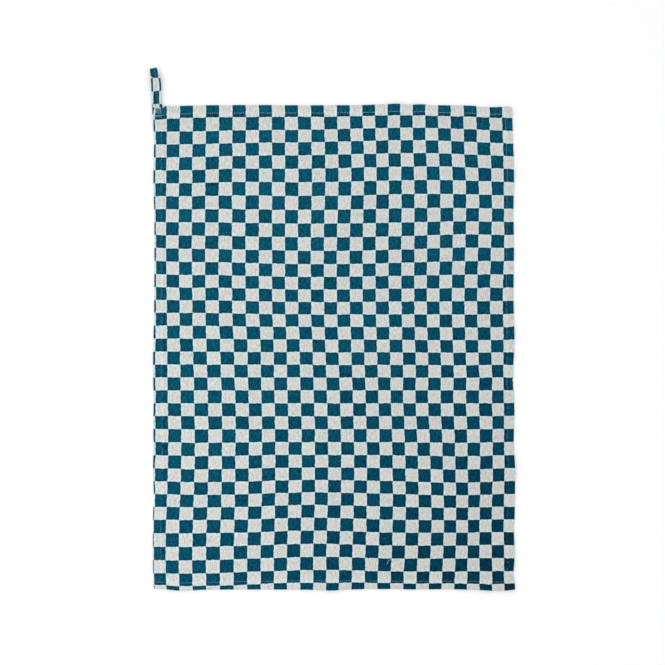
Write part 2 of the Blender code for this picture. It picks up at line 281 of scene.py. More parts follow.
def rippling(x, y, ripples, seed):
    """Soft ripples at each point, each between nought and its height."""
    total = np.zeros_like(x)
    for number, ripple in enumerate(ripples):
        waves = [noise.noise(Vector((a, b, seed + number)))
                 for a, b in zip((x / ripple.size).flat, (y / ripple.size).flat)]
        total += ripple.height * (0.5 + 0.5 * np.array(waves).reshape(x.shape))
    return total


def thickness(side, end):
    """How thick the cloth is: one layer, three on a hem, and five where two hems cross."""
    return LAYER * (1 + 2 * side + 2 * end)


def lay(across, along, below):
    """Where the hemmed cloth lies, from places on it pulled square and the depth below its face."""
    x, y = plan(across, along)
    side, end = side_share(across), end_share(along)
    top = REST + lift(x, y) + thickness(side, end)
    from_seam = np.minimum.reduce([
        np.abs(across - seam_left), np.abs(across - seam_right),
        np.abs(along - seam_bottom), np.abs(along - seam_top),
    ])
    on_hem = np.minimum(1.0, side + end)
    ripple = (rippling(across, along, FIELD_RIPPLES, 0) * (1 - on_hem)
              + rippling(across, along, HEM_RIPPLES, 5) * on_hem)
    ripple = ripple - SEAM_DIP * np.exp(-(from_seam / SEAM_DIP_WIDTH) ** 2)
    upper = 1 - np.clip((below - LAYER) / (2 * LAYER), 0.0, 1.0)
    return np.stack([x, y + TOWEL_MIDDLE_Y, top - below + ripple * upper], -1)


# The outer fold of a hem is round three layers and the inner one round two: their radii, in layers.
OUTER_FOLD, INNER_FOLD = 1.5, 1.0


def turning(station, hem, stack):
    """How far a turned edge has run outwards, dropped, tipped over and used cloth at each station.

    The stations go from 0 where the fold begins, over the fold to 1, in along the underside to 2,
    up round the inner fold to 3, and back out between the layers to the raw edge at 4. Round a fold
    the cloth that is used is measured half a layer inside it.
    """
    over, under, inner, tucked = (np.clip(station - start, 0.0, 1.0) for start in range(4))
    run = hem - (OUTER_FOLD + INNER_FOLD) * stack
    tuck = run - TUCK_SHORT
    out = (OUTER_FOLD * stack * np.sin(np.pi * over) - run * under
           - INNER_FOLD * stack * np.sin(np.pi * inner) + tuck * tucked)
    drop = (OUTER_FOLD * stack * (1 - np.cos(np.pi * over))
            - INNER_FOLD * stack * (1 - np.cos(np.pi * inner)))
    tip = np.pi * (over + inner)
    used = (np.pi * (OUTER_FOLD - 0.5) * stack * over + run * under
            + np.pi * (INNER_FOLD - 0.5) * stack * inner + tuck * tucked)
    return out, drop, tip, used


def folded(line, low_hem, high_hem, stack, depth):
    """Fold both ends of the cloth's lines under: their places, depths and lengths of cloth."""
    low_out, low_drop, low_tip, low_used = turning(np.maximum(line.low, 0), low_hem, stack)
    high_out, high_drop, high_tip, high_used = turning(np.maximum(line.high, 0), high_hem, stack)
    start = line.place + OUTER_FOLD * stack * ((line.low >= 0) * 1.0 - (line.high >= 0) * 1.0)
    place = (start - low_out + depth * np.sin(low_tip)
             + high_out - depth * np.sin(high_tip))
    below = low_drop + high_drop + depth * np.cos(low_tip + high_tip)
    return place, below, start - low_used + high_used


# A line of the mesh along the cloth: its place, and its station in either hem, or -1 outside it.
Line = namedtuple("Line", "place low high")
TURN_STATIONS = [step / 6 for step in range(6)] + [1 + step / 4 for step in range(9)] + [3.5, 4]
HEM_SHARES = [0.2, 0.38, 0.56, 0.73]        # of a hem's width, from its fold
BESIDE_SEAM = [-1.3 * MM, -0.5 * MM, 0, 0.5 * MM, 1.2 * MM]
FALL_SHARES = [0, 0.25, 0.5, 0.75, 1]


def hem_lines(hem):
    """How far the mesh's lines are from a fold, over its hem and down to the surface."""
    lines = [hem * share for share in HEM_SHARES]
    lines += [hem - SEAM_IN + beside for beside in BESIDE_SEAM]
    lines += [hem + HEM_STEP + HEM_FALL * share for share in FALL_SHARES]
    return lines


def lines_between(low, high, low_hem, high_hem):
    """The mesh's lines from one raw edge of the cut to the other."""
    low_side = [low + inwards for inwards in hem_lines(low_hem)]
    high_side = [high - inwards for inwards in reversed(hem_lines(high_hem))]
    count = round((high_side[0] - low_side[-1]) / GRID)
    field = list(np.linspace(low_side[-1], high_side[0], count + 1)[1:-1])
    lines = [(low, station, -1) for station in reversed(TURN_STATIONS)]
    lines += [(place, -1, -1) for place in low_side + field + high_side]
    lines += [(high, -1, station) for station in TURN_STATIONS]
    return Line(*np.array(lines, float).T)


def cloth_grid(depth):
    """Points of one face of the cloth, at that depth below its upper face, and its cloth places."""
    columns = lines_between(CUT_LEFT, CUT_RIGHT, LEFT_HEM, RIGHT_HEM)
    rows = lines_between(CUT_BOTTOM, CUT_TOP, BOTTOM_HEM, TOP_HEM)
    columns = Line(*(value[:, None] for value in columns))
    rows = Line(*(value[None, :] for value in rows))
    x, side_below, cloth_across = folded(columns, LEFT_HEM, RIGHT_HEM, LAYER, depth)
    x, side_below, cloth_across = (value + 0 * rows.place for value in (x, side_below, cloth_across))
    # Where the ends are turned over the side hems, nine layers are pressed to the height of five.
    pressed = side_below * (1 - 4 / 9 * end_share(rows.place))
    stack = LAYER * (1 + 2 / 3 * side_share(x))
    y, below, cloth_along = folded(rows, BOTTOM_HEM, TOP_HEM, stack, pressed)
    return lay(x, y, below), np.stack([cloth_across, cloth_along], -1)


def on_squares(places):
    """The same places of the cloth, counted from its squares instead of from its folds."""
    across, along = places[..., 0], places[..., 1]
    left = between(LEFT_FOLD, "at", "out", along / MM) * MM
    right = between(RIGHT_FOLD, "at", "out", along / MM) * MM
    bottom = between(BOTTOM_FOLD, "at", "out", across / MM) * MM
    across = (across - left * falling(across - CUT_LEFT, FOLD_STRAY_OVER)
              + right * falling(CUT_RIGHT - across, FOLD_STRAY_OVER))
    return np.stack([across, along - bottom * falling(along - CUT_BOTTOM, FOLD_STRAY_OVER)], -1)


SHARP_ANGLE = math.radians(70)
CHART_MARGIN = 0.004            # on the map for baking, round each face of a sheet
CHART_TOP = 0.96                # the faces reach up to here at most
RIM_STRIP_LEFT, RIM_STRIP_WIDTH = 0.01, 0.98        # and the raw edges lie above them
RIM_STRIP_LOW, RIM_STRIP_HIGH = 0.985, 0.995


def in_scene(name, data):
    """Put a new object with that data in the scene."""
    thing = bpy.data.objects.new(name, data)
    bpy.context.scene.collection.objects.link(thing)
    return thing


def closed_sheet(name, upper, lower, upper_cloth, lower_cloth, counted=None):
    """A thin sheet from the points of its two faces, joined along its raw edges.

    Its map Hem holds the place of each point on the flat cloth, in metres, its map Cloth the same
    place as counted gives it, and its map OFBake lays the two faces and the raw edges out side by
    side.
    """
    columns, rows = upper.shape[:2]
    face_points = columns * rows
    number = np.arange(face_points).reshape(columns, rows)
    points = np.concatenate([upper.reshape(-1, 3), lower.reshape(-1, 3)])
    places = np.concatenate([upper_cloth.reshape(-1, 2), lower_cloth.reshape(-1, 2)])
    upper_faces = np.stack(
        [number[:-1, :-1], number[1:, :-1], number[1:, 1:], number[:-1, 1:]], -1).reshape(-1, 4)
    lower_faces = upper_faces[:, ::-1] + face_points
    rim = np.concatenate([number[:, 0], number[-1, 1:], number[-2::-1, -1], number[0, -2:0:-1]])
    after = np.roll(rim, -1)
    rim_faces = np.stack([rim, rim + face_points, after + face_points, after], -1)
    faces = np.concatenate([upper_faces, lower_faces, rim_faces])
    mesh = bpy.data.meshes.new(name)
    mesh.from_pydata(points.tolist(), [], faces.tolist())

    low = places.min(0)
    wide, tall = places.max(0) - low
    scale = (1 - 3 * CHART_MARGIN) / max(2 * wide, tall / CHART_TOP)
    chart = (places - low) * scale + CHART_MARGIN
    chart[face_points:, 0] += wide * scale + CHART_MARGIN
    corners = faces.reshape(-1)
    bake = chart[corners]
    rim_count = len(rim_faces)
    here = np.arange(rim_count) / rim_count
    there = here + 1 / rim_count
    along_strip = RIM_STRIP_LEFT + RIM_STRIP_WIDTH * np.stack([here, here, there, there], -1)
    up_strip = np.tile([RIM_STRIP_LOW, RIM_STRIP_HIGH, RIM_STRIP_HIGH, RIM_STRIP_LOW], (rim_count, 1))
    bake[-4 * rim_count:] = np.stack([along_strip, up_strip], -1).reshape(-1, 2)
    squares_at = counted(places) if counted else places
    for label, values in (("Cloth", squares_at[corners]), ("Hem", places[corners]), ("OFBake", bake)):
        mesh.uv_layers.new(name=label).uv.foreach_set("vector", values.astype(np.float32).ravel())
    mesh.polygons.foreach_set("material_index", np.repeat(
        [0, 1, 0], [len(upper_faces), len(lower_faces), rim_count]).astype(np.int32))
    mesh.shade_smooth()
    mesh.set_sharp_from_angle(angle=SHARP_ANGLE)
    return in_scene(name, mesh)


upper_points, upper_places = cloth_grid(LAYER_GAP)
lower_points, lower_places = cloth_grid(LAYER - LAYER_GAP)
towel = closed_sheet("towel_sheet", upper_points, lower_points, upper_places, lower_places, on_squares)

# The weave. The squares are woven in, so their edges step from thread to thread, and on the back
# the two colours change places.
SQUARE = 18.66 * MM
THREAD_PITCH = 0.62 * MM


def new_group(name, takes, gives):
    """An empty node group with its named inputs and outputs."""
    group = bpy.data.node_groups.new(name, "ShaderNodeTree")
    for label, kind, value in takes:
        group.interface.new_socket(label, in_out="INPUT", socket_type=kind).default_value = value
    for label in gives:
        group.interface.new_socket(label, in_out="OUTPUT", socket_type="NodeSocketFloat")
    return group, group.nodes.new("NodeGroupInput").outputs, group.nodes.new("NodeGroupOutput").inputs


def add_node(tree, kind, values, **settings):
    """Add a shader node. Each of its values is a number, a colour or another node's output."""
    node = tree.nodes.new(kind)
    for name, setting in settings.items():
        setattr(node, name, setting)
    for socket, value in values.items():
        if isinstance(value, bpy.types.NodeSocket):
            tree.links.new(value, node.inputs[socket])
        else:
            node.inputs[socket].default_value = value
    return node


def reckon(operation, *values):
    """The result of a Math node, in the tree of the sockets among its values."""
    tree = next(value.id_data for value in values if isinstance(value, bpy.types.NodeSocket))
    return add_node(tree, "ShaderNodeMath", dict(enumerate(values)), operation=operation).outputs[0]


def scaled(value, factor, offset=0.0):
    """A value times a factor, plus an offset."""
    return reckon("MULTIPLY_ADD", value, factor, offset)


def parted(place):
    """How far across the cloth a place is, and how far along it."""
    return add_node(place.id_data, "ShaderNodeSeparateXYZ", {0: place}).outputs[:2]


def fading(value, full, end):
    """1 where a value is under full, falling smoothly to 0 at end."""
    return add_node(value.id_data, "ShaderNodeMapRange", {
        "Value": value, "From Min": full, "From Max": end, "To Min": 1.0, "To Max": 0.0,
    }, interpolation_type="SMOOTHSTEP").outputs[0]


def stretched_noise(across, along, width, length, detail=2.0):
    """Noise in streaks of that width across the cloth and that length along it."""
    at = add_node(across.id_data, "ShaderNodeCombineXYZ", {
        0: reckon("DIVIDE", across, width),
        1: reckon("DIVIDE", along, length),
    }).outputs[0]
    values = {"Vector": at, "Scale": 1.0, "Detail": detail, "Roughness": 0.55}
    return add_node(at.id_data, "ShaderNodeTexNoise", values, noise_dimensions="2D").outputs["Fac"]


def mixed(share, first, second):
    """A colour between two others."""
    values = {"Factor": share, "A": first, "B": second}
    return add_node(share.id_data, "ShaderNodeMix", values, data_type="RGBA").outputs["Result"]


# Woven squares: which thread colour shows, how near the edge of its square a point is, and one
# tone for each square. The edge wanders slowly, and steps a little at every crossing thread. A
# wave each way of the cloth crosses nought at the edges, and its height tells how far in a point is.
EDGE_WANDER = 1.9 * MM
EDGE_WANDER_LENGTH, EDGE_WANDER_APART = 9 * MM, 60 * MM
EDGE_STEP = 0.45 * MM
EDGE_CHANGE = 0.035             # the colour has changed at this height, 0.2 mm in
RIM_FULL, RIM_END = 0.26, 0.56  # and the rim fades from the first to the second, 1.6 to 3.5 mm in
squares, taken, given = new_group("woven squares", [
    ("Cloth", "NodeSocketVector", (0, 0, 0)),
    ("Square", "NodeSocketFloat", SQUARE),
    ("Across Phase", "NodeSocketFloat", 0.0),
    ("Along Phase", "NodeSocketFloat", 0.0),
    ("Turned Over", "NodeSocketFloat", 0.0),
], ["Dyed", "Rim", "Square Tone"])
place = parted(taken["Cloth"])
waves, cells = [], []
for axis, phase in enumerate(["Across Phase", "Along Phase"]):
    here, other = place[axis], place[1 - axis]
    wander = stretched_noise(here, other, EDGE_WANDER_APART, EDGE_WANDER_LENGTH)
    wander = scaled(wander, EDGE_WANDER, -EDGE_WANDER / 2)
    thread = reckon("FLOOR", reckon("DIVIDE", other, THREAD_PITCH))
    thread = add_node(squares, "ShaderNodeTexWhiteNoise", {"W": thread}, noise_dimensions="1D")
    step = scaled(thread.outputs["Value"], EDGE_STEP, -EDGE_STEP / 2)
    moved = reckon("ADD", here, reckon("ADD", wander, step))
    count = reckon("ADD", reckon("DIVIDE", moved, taken["Square"]), taken[phase])
    cells.append(reckon("FLOOR", count))
    waves.append(reckon("SINE", scaled(count, math.pi)))
crisp = [add_node(squares, "ShaderNodeMapRange", {
    "Value": wave, "From Min": -EDGE_CHANGE, "From Max": EDGE_CHANGE, "To Min": -1.0, "To Max": 1.0,
}).outputs[0] for wave in waves]
flipped = scaled(taken["Turned Over"], 1.0, -0.5)
squares.links.new(scaled(reckon("MULTIPLY", *crisp), flipped, 0.5), given["Dyed"])
from_edge = reckon("MINIMUM", *(reckon("ABSOLUTE", wave) for wave in waves))
squares.links.new(fading(from_edge, RIM_FULL, RIM_END), given["Rim"])
cell = add_node(squares, "ShaderNodeCombineXYZ", {0: cells[0], 1: cells[1]}).outputs[0]
cell = add_node(squares, "ShaderNodeTexWhiteNoise", {"Vector": cell}, noise_dimensions="2D")
squares.links.new(cell.outputs["Value"], given["Square Tone"])

# Slubby yarns: lighter and darker lengths of thread both ways of the cloth, thick places in them,
# the relief of the plain weave, and yarn that is warmer in one place and cooler in the next.
Slub = namedtuple("Slub", "width length share")
WARP_SLUB = Slub(1.6 * MM, 7 * MM, 0.42)
WEFT_SLUB = Slub(1.6 * MM, 5 * MM, 0.22)
THICK_PLACE = Slub(1.3 * MM, 1.5 * MM, 0.42)
MEAN_SLUB = 0.53                # the three together, on average
WARMTH_WIDTH, WARMTH_LENGTH = 2.9 * MM, 3.4 * MM
WEAVE_RELIEF, WEAVE_TONE = 0.22, 0.045
yarns, taken, given = new_group("slubby yarns", [
    ("Cloth", "NodeSocketVector", (0, 0, 0)),
    ("Thread Pitch", "NodeSocketFloat", THREAD_PITCH),
], ["Tone", "Relief", "Warmth"])
across, along = parted(taken["Cloth"])
tone = -MEAN_SLUB
for slub, here, other in (
        (WARP_SLUB, across, along), (WEFT_SLUB, along, across), (THICK_PLACE, across, along)):
    tone = scaled(stretched_noise(here, other, slub.width, slub.length), slub.share, tone)
warmth = stretched_noise(along, across, WARMTH_WIDTH, WARMTH_LENGTH, detail=1.0)
crossing = reckon("MULTIPLY", *(
    reckon("SINE", scaled(reckon("DIVIDE", way, taken["Thread Pitch"]), math.pi))
    for way in (across, along)))
yarns.links.new(scaled(crossing, WEAVE_TONE, tone), given["Tone"])
yarns.links.new(scaled(crossing, WEAVE_RELIEF, tone), given["Relief"])
yarns.links.new(warmth, given["Warmth"])

# The seam's painted light and shade: how near a point is to the stitches, where the yarns get a
# painted highlight along the hem's ridge, and to the cloth just inside them, where the teal gets
# painted shade along three sides and not along the bottom.
Band = namedtuple("Band", "middle full end")        # inwards from the seam, and out from its middle
SEAM_BAND = Band(0.4 * MM, 1.0 * MM, 4.2 * MM)
INSIDE_BAND = Band(3.0 * MM, 0.9 * MM, 3.2 * MM)
seam_light_and_shade, taken, given = new_group("seam highlight and shade", [
    ("Hem", "NodeSocketVector", (0, 0, 0)),
    ("Left", "NodeSocketFloat", 0.0),
    ("Right", "NodeSocketFloat", 0.0),
    ("Bottom", "NodeSocketFloat", 0.0),
    ("Top", "NodeSocketFloat", 0.0),
], ["On Seam", "Inside Seam"])
across, along = parted(taken["Hem"])
three_sides = reckon("MINIMUM", reckon("SUBTRACT", across, taken["Left"]),
                     reckon("SUBTRACT", taken["Right"], across))
three_sides = reckon("MINIMUM", three_sides, reckon("SUBTRACT", taken["Top"], along))
all_sides = reckon("MINIMUM", three_sides, reckon("SUBTRACT", along, taken["Bottom"]))
for label, inwards, band in (
        ("On Seam", all_sides, SEAM_BAND), ("Inside Seam", three_sides, INSIDE_BAND)):
    away = reckon("ABSOLUTE", reckon("SUBTRACT", inwards, band.middle))
    seam_light_and_shade.links.new(fading(away, band.full, band.end), given[label])

# Painted light and shade: about 1 at the top left of the cloth, and less where painted shade
# falls on the teal, most of all at the bottom right; on the off-white yarns, a little painted
# shade and light. Both change from the top left to the right, downwards and towards the bottom
# right corner.
Change = namedtuple("Change", "top_left right down corner")
# painted shade on the teal, and painted light and shade on the off-white yarns
TEAL_PAINTED_SHADE = Change(1.04, -0.10, -0.09, -0.50)
PALE_PAINTED_LIGHT_AND_SHADE = Change(1.0, -0.018, 0.024, -0.098)
painted_shading_group, taken, given = new_group("painted light and shade", [
    ("Cloth", "NodeSocketVector", (0, 0, 0)),
    ("Half Width", "NodeSocketFloat", TOWEL_WIDTH / 2),
    ("Half Length", "NodeSocketFloat", TOWEL_LENGTH / 2),
], ["Depth", "Pale Painted Light And Shade"])
across, along = parted(taken["Cloth"])
right = scaled(reckon("DIVIDE", across, taken["Half Width"]), 0.5, 0.5)
down = scaled(reckon("DIVIDE", along, taken["Half Length"]), -0.5, 0.5)
corner = reckon("MULTIPLY", right, down)
for label, change, towards_corner in (
        ("Depth", TEAL_PAINTED_SHADE, reckon("MULTIPLY", corner, down)), ("Pale Painted Light And Shade", PALE_PAINTED_LIGHT_AND_SHADE, corner)):
    value = scaled(down, change.down, scaled(right, change.right, change.top_left))
    painted_shading_group.links.new(scaled(towards_corner, change.corner, value), given[label])

PALE_YARN_COOL, PALE_YARN_WARM = (0.520, 0.598, 0.570, 1), (0.640, 0.566, 0.542, 1)
PALE_YARN_RIM = (0.563, 0.662, 0.684, 1)
TEAL_YARN, TEAL_YARN_RIM = (0.0018, 0.0765, 0.127, 1), (0.0014, 0.0570, 0.090, 1)
TEAL_YARN_IN_PAINTED_SHADE = (0.0004, 0.0745, 0.146, 1)     # bluer where the painted shade is deepest
TEAL_SHADE_TURN = 2.5                 # how fast the teal turns to it as the painted shade deepens
PALE_SLUBS, TEAL_SLUBS = 1.78, 5.38             # how strongly slubs show in the two yarns
PALE_SQUARES, TEAL_SQUARES = 0.05, 0.17         # how much one square's tone differs from another's
# painted highlight on the seam's ridge, and painted shade on the teal just inside it
PALE_SEAM_HIGHLIGHT, TEAL_SEAM_HIGHLIGHT = 0.09, 0.07         # how much lighter the yarns are on a seam
TEAL_SEAM_SHADE = -0.24        # and how much darker the teal is just inside it
RIM_SINK = -0.5                 # a square's rim is pulled in by the threads that change faces there


def new_finish(name):
    """A new material, with its node tree and its shader."""
    material = bpy.data.materials.new(name)
    material.use_nodes = True
    return material, material.node_tree, material.node_tree.nodes["Principled BSDF"]


def checked_cotton(name, across_phase, along_phase, turned_over):
    """The cotton's finish, with its squares counted from a place on the cloth."""
    material, tree, shader = new_finish(name)
    cloth = add_node(tree, "ShaderNodeUVMap", {}, uv_map="Cloth").outputs[0]
    hem = add_node(tree, "ShaderNodeUVMap", {}, uv_map="Hem").outputs[0]
    woven = add_node(tree, "ShaderNodeGroup", {
        "Cloth": cloth, "Across Phase": across_phase, "Along Phase": along_phase,
        "Turned Over": turned_over,
    }, node_tree=squares).outputs
    yarn = add_node(tree, "ShaderNodeGroup", {"Cloth": cloth}, node_tree=yarns).outputs
    seam = add_node(tree, "ShaderNodeGroup", {
        "Hem": hem, "Left": seam_left, "Right": seam_right, "Bottom": seam_bottom, "Top": seam_top,
    }, node_tree=seam_light_and_shade).outputs
    painted = add_node(tree, "ShaderNodeGroup", {"Cloth": cloth}, node_tree=painted_shading_group).outputs
    dyed = woven["Dyed"]

    def of_yarn(pale, teal):
        """One number where the off-white yarn shows and another where the teal one does."""
        return scaled(dyed, teal - pale, pale)

    pale = mixed(yarn["Warmth"], PALE_YARN_COOL, PALE_YARN_WARM)
    pale = mixed(woven["Rim"], pale, PALE_YARN_RIM)
    # the teal turns darker and bluer towards the bottom right: painted shade
    teal = mixed(scaled(painted["Depth"], -TEAL_SHADE_TURN, TEAL_SHADE_TURN), TEAL_YARN, TEAL_YARN_IN_PAINTED_SHADE)
    teal = mixed(woven["Rim"], teal, TEAL_YARN_RIM)
    tone = scaled(yarn["Tone"], of_yarn(PALE_SLUBS, TEAL_SLUBS), 1.0)
    own_tone = reckon("SUBTRACT", woven["Square Tone"], 0.5)
    tone = scaled(own_tone, of_yarn(PALE_SQUARES, TEAL_SQUARES), tone)
    # painted highlight on the seam's ridge, and painted shade on the teal just inside it
    tone = scaled(seam["On Seam"], of_yarn(PALE_SEAM_HIGHLIGHT, TEAL_SEAM_HIGHLIGHT), tone)
    tone = scaled(seam["Inside Seam"], of_yarn(0.0, TEAL_SEAM_SHADE), tone)
    # each yarn's colour scaled by its painted light and shade
    painted_shading_scale = scaled(reckon("SUBTRACT", painted["Depth"], painted["Pale Painted Light And Shade"]), dyed, painted["Pale Painted Light And Shade"])
    colour = add_node(tree, "ShaderNodeVectorMath", {
        0: mixed(dyed, pale, teal), "Scale": reckon("MULTIPLY", tone, painted_shading_scale),
    }, operation="SCALE")
    tree.links.new(colour.outputs[0], shader.inputs["Base Color"])
    height = scaled(woven["Rim"], RIM_SINK, yarn["Relief"])
    bump = add_node(tree, "ShaderNodeBump", {"Strength": 0.5, "Distance": 0.3 * MM, "Height": height})
    tree.links.new(bump.outputs[0], shader.inputs["Normal"])
    shader.inputs["Roughness"].default_value = 0.92
    shader.inputs["Specular IOR Level"].default_value = 0.03
    shader.inputs["Sheen Weight"].default_value = 0.02
    shader.inputs["Sheen Roughness"].default_value = 0.5
    return material


# The first column of squares is cut by the left fold, and the top row by the top fold.
ACROSS_PHASE = 0.76 + 0.5 * MM / SQUARE
ALONG_PHASE = 0.30
towel.data.materials.append(checked_cotton("checked_cotton_face", ACROSS_PHASE, ALONG_PHASE, 0.0))
towel.data.materials.append(checked_cotton("checked_cotton_back", ACROSS_PHASE, ALONG_PHASE, 1.0))

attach(towel, "root")
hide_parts("towel_cloth")

# ------------------------------------------------------------------------------------------------
# The hem stitching. One row of lockstitch in pale cotton thread runs round all four hems, a
# little inside their inner edges, from one edge of the towel to the other. It shows on both faces.
# ------------------------------------------------------------------------------------------------
STITCH = 3.1 * MM
STITCH_GAP = 0.35 * MM
STITCH_SWAY = 0.12 * MM         # how far a stitch lies beside its row, at most
SUNK_SPREAD = (-0.05 * MM, 0.07 * MM)       # it sinks this much less or more than its row
GIRTH_SPREAD = (0.9, 1.1)
BACK_DIVE = 0.5                 # on the back its ends dive in by this share of the face's
BACK_IN = 0.06 * MM             # and its middle lies this far in from the underside
THREAD_RADIUS = 0.16 * MM
THREAD_SIDES = 6
CELL_MARGIN = 0.05              # round each stitch on the map for baking, as a share of its cell
# Along a stitch: the share of its length, how proud its middle is, and its share of full thickness.
Ring = namedtuple("Ring", "share proud girth")
RINGS = Ring(*np.array([
    Ring(0.0, -0.22 * MM, 0.55), Ring(0.1, -0.04 * MM, 0.9), Ring(0.3, 0.09 * MM, 1.0),
    Ring(0.7, 0.09 * MM, 1.0), Ring(0.9, -0.04 * MM, 0.9), Ring(1.0, -0.22 * MM, 0.55),
]).T)


def gone_along(path):
    """The distance from the start of a path to each of its points."""
    return np.concatenate([[0], np.cumsum(np.linalg.norm(np.diff(path, axis=0), axis=1))])


def thread_tubes(name, threads, sides):
    """Closed tubes round paths of points, each with its girths, mapped for twist and for baking."""
    points, faces, twist, chart = [], [], [], []
    cells = math.ceil(math.sqrt(len(threads)))
    for number, (path, girth) in enumerate(threads):
        ahead = np.gradient(path, axis=0)
        ahead /= np.linalg.norm(ahead, axis=1)[:, None]
        beside = np.cross(ahead, (0, 0, 1))
        beside /= np.linalg.norm(beside, axis=1)[:, None]
        above = np.cross(beside, ahead)
        turn = (np.arange(sides) / sides * 2 * np.pi)[None, :, None]
        rings = path[:, None] + girth[:, None, None] * (
            np.cos(turn) * beside[:, None] + np.sin(turn) * above[:, None])
        first = len(points)
        points.extend(rings.reshape(-1, 3).tolist())
        points.extend([(path[0] - ahead[0] * girth[0] * 0.5).tolist(),
                       (path[-1] + ahead[-1] * girth[-1] * 0.5).tolist()])
        gone = gone_along(path)
        column, row = number % cells, number // cells

        def mark(side, ring, off=0.0):
            """Add a face's corner to both maps."""
            twist.append((side / sides, gone[ring] / MM))
            in_cell = np.array([side / sides, (ring + 1 + off) / (len(path) + 1)])
            in_cell = CELL_MARGIN + (1 - 2 * CELL_MARGIN) * in_cell
            chart.append((in_cell + (column, row)) / cells)

        for ring in range(len(path) - 1):
            for side in range(sides):
                nxt = (side + 1) % sides
                base, up = first + ring * sides, first + (ring + 1) * sides
                faces.append((base + side, base + nxt, up + nxt, up + side))
                mark(side, ring)
                mark(side + 1, ring)
                mark(side + 1, ring + 1)
                mark(side, ring + 1)
        end = len(path) - 1
        start_tip, end_tip = first + len(path) * sides, first + len(path) * sides + 1
        last = first + end * sides
        for side in range(sides):
            nxt = (side + 1) % sides
            faces.append((first + nxt, first + side, start_tip))
            mark(side + 1, 0)
            mark(side, 0)
            mark(side + 0.5, 0, -1.0)
            faces.append((last + side, last + nxt, end_tip))
            mark(side, end)
            mark(side + 1, end)
            mark(side + 0.5, end, 1.0)
    mesh = bpy.data.meshes.new(name)
    mesh.from_pydata(points, [], faces)
    for label, values in (("Twist", twist), ("OFBake", chart)):
        mesh.uv_layers.new(name=label).uv.foreach_set("vector", np.array(values, np.float32).ravel())
    mesh.shade_smooth()
    return in_scene(name, mesh)


# A row of stitches: where it starts and ends on the cloth pulled square, and how far it has sunk
# into the cloth at its start and at its end.
Row = namedtuple("Row", "start_across start_along end_across end_along sunk sunk_end")
EDGE_MARGIN = 1.6 * MM          # stitches stop this far from the folds
HEM_ROWS = [
    Row(seam_left, CUT_TOP - EDGE_MARGIN, seam_left, CUT_BOTTOM + EDGE_MARGIN, 0.17 * MM, 0.22 * MM),
    Row(seam_right, CUT_TOP - EDGE_MARGIN, seam_right, CUT_BOTTOM + EDGE_MARGIN, 0.11 * MM, 0.23 * MM),
    Row(CUT_LEFT + EDGE_MARGIN, seam_top, CUT_RIGHT - EDGE_MARGIN, seam_top, 0.05 * MM, 0.05 * MM),
    Row(CUT_LEFT + EDGE_MARGIN, seam_bottom, CUT_RIGHT - EDGE_MARGIN, seam_bottom, 0.11 * MM, 0.13 * MM),
]
FACE_LEAN, BACK_LEAN = 0.18 * MM, 0.10 * MM     # from its start to its end a stitch leans this far


def sewn(row, stitch, chance, lean, under=False):
    """A row of stitches on the cloth's face or underside, each as its path and its girths."""
    start = np.array([row.start_across, row.start_along])
    end = np.array([row.end_across, row.end_along])
    length = np.linalg.norm(end - start)
    ahead = (end - start) / length
    beside = np.array([ahead[1], -ahead[0]])
    count = max(1, round(length / stitch))
    half_gap = STITCH_GAP / stitch / 2
    flat, rise, girths = [], [], []
    for number in range(count):
        first = (number + half_gap) * length / count
        last = (number + 1 - half_gap) * length / count
        aside = lean * (RINGS.share - 0.5) + chance.uniform(-STITCH_SWAY, STITCH_SWAY)
        sunk = row.sunk + (row.sunk_end - row.sunk) * number / count + chance.uniform(*SUNK_SPREAD)
        along_row = first + (last - first) * RINGS.share
        flat.append(start + along_row[:, None] * ahead + aside[:, None] * beside)
        rise.append(RINGS.proud - sunk)
        girths.append(RINGS.girth * THREAD_RADIUS * chance.uniform(*GIRTH_SPREAD))
    flat, rise = np.array(flat), np.array(rise)
    across, along = flat[..., 0], flat[..., 1]
    below = LAYER_GAP - rise
    if under:
        bottom = thickness(side_share(across), end_share(along))
        below = bottom + np.minimum(rise, 0.0) * BACK_DIVE - BACK_IN
    return list(zip(lay(across, along, below), girths))


chance = random.Random(7)
face_threads, back_threads = [], []
for row in HEM_ROWS:
    face_threads += sewn(row, STITCH, chance, FACE_LEAN)
    back_threads += sewn(row, STITCH, chance, BACK_LEAN, under=True)
hem_stitches = thread_tubes("hem_stitches", face_threads, THREAD_SIDES)
hem_stitches_back = thread_tubes("hem_stitches_back", back_threads, THREAD_SIDES)

# Two-ply thread, a little glossier than the cloth, with its twist in the relief and in its colour,
# as painted shade between the plies and painted light on them.
PLIES = 2.0
PLIES_PER_MM = 1.6              # how many pass along each millimetre of thread
THREAD_PAINTED_SHADE_IN_TWIST, THREAD_PAINTED_LIGHT_ON_PLY = (0.46, 0.58, 0.61, 1), (0.64, 0.74, 0.76, 1)
thread_finish, tree, shader = new_finish("sewing_thread")
round_it, along_it = parted(add_node(tree, "ShaderNodeUVMap", {}, uv_map="Twist").outputs[0])
turns = scaled(round_it, PLIES, scaled(along_it, PLIES_PER_MM))
wave = reckon("SINE", scaled(turns, 2 * math.pi))
ply = add_node(tree, "ShaderNodeMapRange", {"Value": wave, "From Min": -1.0, "To Min": 0.0}).outputs[0]
# darker in the twist's grooves and lighter on the plies: painted shade and light
tree.links.new(mixed(ply, THREAD_PAINTED_SHADE_IN_TWIST, THREAD_PAINTED_LIGHT_ON_PLY), shader.inputs["Base Color"])
bump = add_node(tree, "ShaderNodeBump", {"Strength": 0.6, "Distance": 0.08 * MM, "Height": ply})
tree.links.new(bump.outputs[0], shader.inputs["Normal"])
shader.inputs["Roughness"].default_value = 0.7
shader.inputs["Sheen Weight"].default_value = 0.1

